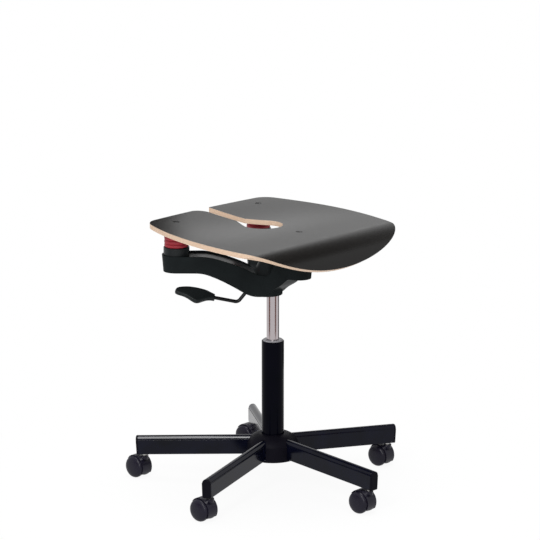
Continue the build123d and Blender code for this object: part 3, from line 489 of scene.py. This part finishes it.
def rubber_boot(side):
    """Bellows with rounded folds between the collar and the seat's cup."""
    centre, crest, bottom, top = upright_span(f"rear_boot_{side}")
    pitch = (top - bottom) / BOOT_FOLDS
    root = crest - FOLD_DEPTH
    # Height on a fold and share of its depth
    bulge = [(0.0, 0.0), (0.06, 0.42), (0.16, 0.8), (0.3, 0.97),
             (0.5, 1.0), (0.7, 0.97), (0.84, 0.8), (0.94, 0.42)]
    outside = [(root + FOLD_DEPTH * out, bottom + (fold + up) * pitch)
               for fold in range(BOOT_FOLDS) for up, out in bulge]
    outside.append((root, top))
    inside = [(r - BOOT_WALL, z) for r, z in reversed(outside)]
    shape = turned(outside + inside + outside[:1], centre, ROUND_STEPS)
    piece = new_piece(f"ribbed_boot_{side}", shape, boot_rubber)
    smooth(piece, degrees=50)
    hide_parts(f"rear_boot_{side}")
    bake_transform(piece)


def rubber_buffer(side):
    """Waisted spring inside the boot."""
    centre, r, bottom, top = upright_span(f"rear_buffer_{side}")
    span = top - bottom
    # Share of the height and of the radius
    waist = [(0.1, 1.0), (0.2, 0.9), (0.32, 0.82), (0.5, 0.78), (0.68, 0.82), (0.8, 0.9), (0.9, 1.0)]
    bore_floor = top - BUFFER_BORE_DEPTH
    profile = [(0.0, bottom), (r - BUFFER_CHAMFER, bottom), (r, bottom + BUFFER_CHAMFER)]
    profile += [(r * wide, bottom + up * span) for up, wide in waist]
    profile += [(r, top - BUFFER_CHAMFER), (r - BUFFER_CHAMFER, top), (BUFFER_BORE_R, top),
                (BUFFER_BORE_R, bore_floor), (0.0, bore_floor)]
    piece = new_piece(f"waisted_buffer_{side}", turned(profile, centre, BUFFER_STEPS), buffer_rubber)
    smooth(piece, degrees=50)
    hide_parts(f"rear_buffer_{side}")
    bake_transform(piece)


# Casters

def caster_wheel(side, number):
    """Domed wheel with a well rounded tread, bored for its axle."""
    name = f"caster_wheel_{side}_{number}"
    low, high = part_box(name)
    axle_low, axle_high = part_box(f"caster_axle_{number}")
    outward = 1 if low.x + high.x > axle_low.x + axle_high.x else -1
    inner_face, axle_end = (low.x, axle_high.x) if outward > 0 else (high.x, axle_low.x)
    bore = (axle_high.z - axle_low.z) / 2 / MM + AXLE_PLAY
    depth = abs(axle_end - inner_face) / MM + AXLE_END_PLAY
    r = (high.z - low.z) / 2 / MM
    deep = (high.x - low.x) / MM
    # Radius and distance from the inner face: the bore, round the tread, over the dome
    section = [(0, depth), (bore, depth), (bore, 0), (r - 4.6, 0), (r - 3.0, 0.5), (r - 1.4, 1.7),
               (r - 0.4, 3.6), (r, 5.8), (r, 8.4), (r - 0.4, 10.4), (r - 1.3, 12.2), (r - 2.6, 13.7),
               (r - 4.2, deep - 3.4), (r - 6.2, deep - 2.4), (r - 9.5, deep - 1.5), (r - 14, deep - 0.6),
               (r - 19, deep - 0.15), (0, deep)]
    centre = (inner_face, (low.y + high.y) / 2, (low.z + high.z) / 2)
    shape = spun([(outward * u * MM, 0, out * MM) for out, u in section], (1, 0, 0), centre, ROUND_STEPS)
    piece = new_piece(f"domed_wheel_{side}_{number}", shape, caster_nylon)
    smooth(piece, degrees=40)
    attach(piece, f"wheel_{side}_{number}")
    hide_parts(name)


def caster_hood(number):
    """The part's hood with its roof trimmed back from the wheels' rims and thinned to its trailing edge."""
    shape = merged_copy(f"caster_hood_{number}")
    low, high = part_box(f"caster_hood_{number}")
    middle = (low.x + high.x) / 2
    for side in (-1, 1):
        cut = bmesh.ops.bisect_plane(shape, geom=shape.verts[:] + shape.edges[:] + shape.faces[:],
                                     plane_co=(middle + side * HOOD_HALF_WIDTH * MM, 0, 0),
                                     plane_no=(side, 0, 0), clear_outer=True)
        rim = of_kind(bmesh.types.BMEdge, cut["geom_cut"])
        bmesh.ops.triangle_fill(shape, use_beauty=True, edges=rim)
    near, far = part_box(f"caster_axle_{number}")
    axle = (near + far) / 2
    inner = HOOD_INNER_R * MM
    for vert in shape.verts:
        back, up = vert.co.y - axle.y, vert.co.z - axle.z
        reach, bearing = hypot(back, up), atan2(up, back)
        thin = 1 - min(max((bearing - HOOD_TAIL) / HOOD_TAPER, 0), 1)
        if reach > inner and bearing > 0:
            kept = (inner + (reach - inner) * (1 - HOOD_THINNING * thin)) / reach
            vert.co.y, vert.co.z = axle.y + back * kept, axle.z + up * kept
    bmesh.ops.recalc_face_normals(shape, faces=shape.faces)
    piece = new_piece(f"trimmed_hood_{number}", shape, caster_nylon)
    smooth(piece, degrees=35)
    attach(piece, f"caster_{number}")
    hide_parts(f"caster_hood_{number}")


plywood_seat()
for number in CASTER_NUMBERS:
    caster_hood(number)
    for side in SIDES:
        caster_wheel(side, number)
for side in SIDES:
    rubber_boot(side)
    rubber_buffer(side)
screws = [seat_screw(number, x, y) for number, (x, y) in enumerate(SCREW_PLACES, 1)]
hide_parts("seat_screws")


# Stage: white surround, pale floor that keeps the shadow, soft boxes, and flags that only gloss shows

def background_rays(tree):
    """1 for a ray that shows the background: from the camera, off gloss or through glass."""
    path = add(tree, "ShaderNodeLightPath").outputs
    seen = add(tree, "ShaderNodeMath", {0: path["Is Camera Ray"], 1: path["Is Glossy Ray"]},
               operation="MAXIMUM")
    seen = add(tree, "ShaderNodeMath", {0: seen.outputs["Value"], 1: path["Is Transmission Ray"]},
               operation="MAXIMUM")
    return seen.outputs["Value"]


def white_surround():
    surround = bpy.data.worlds.new("white_surround")
    scene.world = surround
    surround.use_nodes = True
    tree = surround.node_tree
    tree.nodes.clear()
    shown = add(tree, "ShaderNodeBackground", {"Color": WHITE, "Strength": 1.0})
    lit = add(tree, "ShaderNodeBackground", {"Color": WHITE, "Strength": SURROUND_LIGHT})
    both = add(tree, "ShaderNodeMixShader", {0: background_rays(tree), 1: lit.outputs["Background"],
                                             2: shown.outputs["Background"]})
    add(tree, "ShaderNodeOutputWorld", {"Surface": both.outputs["Shader"]})


def studio_floor():
    shape = bmesh.new()
    bmesh.ops.create_circle(shape, cap_ends=True, radius=FLOOR_R, segments=FLOOR_STEPS)
    look, tree, shader = material("white_studio_floor")
    feed(tree, shader, {"Base Color": linear("#e9e9e9"), "Roughness": 0.9})
    place = add(tree, "ShaderNodeTexCoord").outputs["Object"]
    far = add(tree, "ShaderNodeVectorMath", {0: place}, operation="LENGTH")
    share = add(tree, "ShaderNodeMapRange", {"Value": far.outputs["Value"], "From Min": SHADOW_R,
                                             "From Max": WHITE_R, "To Min": SHADOW_WHITE, "To Max": 1.0},
                interpolation_type="SMOOTHSTEP")
    glow = add(tree, "ShaderNodeEmission", {"Color": WHITE, "Strength": 1.0})
    white = add(tree, "ShaderNodeMath", {0: background_rays(tree), 1: share.outputs["Result"]},
                operation="MULTIPLY")
    mixed = add(tree, "ShaderNodeMixShader", {0: white.outputs["Value"], 1: shader.outputs["BSDF"],
                                              2: glow.outputs["Emission"]})
    feed(tree, tree.nodes["Material Output"], {"Surface": mixed.outputs["Shader"]})
    floor = new_piece("floor", shape, look)


def facing(place, aim):
    """The turn that points a lamp or camera from its place at its aim."""
    return (Vector(aim) - Vector(place)).to_track_quat("-Z", "Y").to_euler()


def soft_box(name, place, aim, size, watts):
    lamp = bpy.data.lights.new(name, "AREA")
    lamp.shape = "RECTANGLE"
    lamp.size, lamp.size_y = size
    lamp.energy = watts
    box = bpy.data.objects.new(name, lamp)
    box.location = place
    box.rotation_euler = facing(place, aim)
    scene.collection.objects.link(box)
    return box


def felt_flag(name, cloth, turn, place, width, height):
    """A sheet of felt standing round the object, turned in degrees about the middle of the floor."""
    look, tree, shader = material(f"felt_of_{name}")
    feed(tree, shader, {"Base Color": linear(cloth), "Roughness": 0.95})
    shape = bmesh.new()
    bmesh.ops.create_grid(shape, x_segments=1, y_segments=1, size=0.5)
    upright = Matrix.Translation(place) @ Matrix.Rotation(pi / 2, 4, "X")
    stand = Matrix.Rotation(radians(turn), 4, "Z") @ upright
    bmesh.ops.transform(shape, matrix=stand @ Matrix.Diagonal((width, height, 1, 1)), verts=shape.verts)
    flag = new_piece(name, shape, look)
    flag.visible_camera = False
    flag.visible_diffuse = False
    flag.visible_shadow = False


def photo_camera():
    camera = bpy.data.cameras.new("photo_camera")
    camera.sensor_width = SENSOR_WIDTH
    camera.lens = LENS
    camera.shift_x = SHIFT_X
    camera.shift_y = SHIFT_Y
    camera.clip_end = CAMERA_REACH
    view = bpy.data.objects.new("photo_camera", camera)
    view.location = CAMERA_PLACE
    view.rotation_euler = facing(CAMERA_PLACE, CAMERA_AIM)
    scene.collection.objects.link(view)
    scene.camera = view


white_surround()
studio_floor()

soft_box("key_box", place=(-2.6, -0.9, 2.4), aim=(0, 0, 0.4), size=(0.6, 0.9), watts=36)
soft_box("top_box", place=(0.0, 0.0, 2.9), aim=(0, 0, 0.5), size=(1.6, 1.6), watts=60)
soft_box("fill_box", place=(-2.8, -2.0, 1.25), aim=(0, 0, 0.45), size=(0.8, 1.2), watts=32)
gloss_box = soft_box("gloss_box", place=(-1.25, -0.12, 1.85), aim=(-0.12, 0.2, 0.1), size=(1.5, 2.1),
                     watts=220)
gloss_box.visible_diffuse = False
# Linked to the arms alone, as barn doors would do: it draws the line along their rounded tops
lit_by_gloss = bpy.data.collections.new("lit_by_gloss")
for name, node in nodes.items():
    if name.startswith("base_arm_"):
        lit_by_gloss.objects.link(node)
gloss_box.light_linking.receiver_collection = lit_by_gloss

# Three low flags for the chrome's streaks
felt_flag("flag_left", "#8a665e", turn=-111, place=(0, -1.35, 0.2), width=0.62, height=0.4)
felt_flag("flag_right", "#8a665e", turn=2, place=(0, -1.35, 0.2), width=0.6, height=0.4)
felt_flag("flag_far", "#141414", turn=95, place=(0, -1.0, 0.25), width=0.9, height=0.5)
# One that darkens the sheen at a rear corner of the seat, and one for the sheen on its front roll
felt_flag("flag_behind", "#1e1c1c", turn=131, place=(0.42, -1.5, 1.05), width=0.4, height=0.7)
felt_flag("flag_above", "#403c3a", turn=100, place=(0, -1.6, 2.47), width=2.8, height=1.46)

photo_camera()
scene.view_settings.view_transform = "Standard"
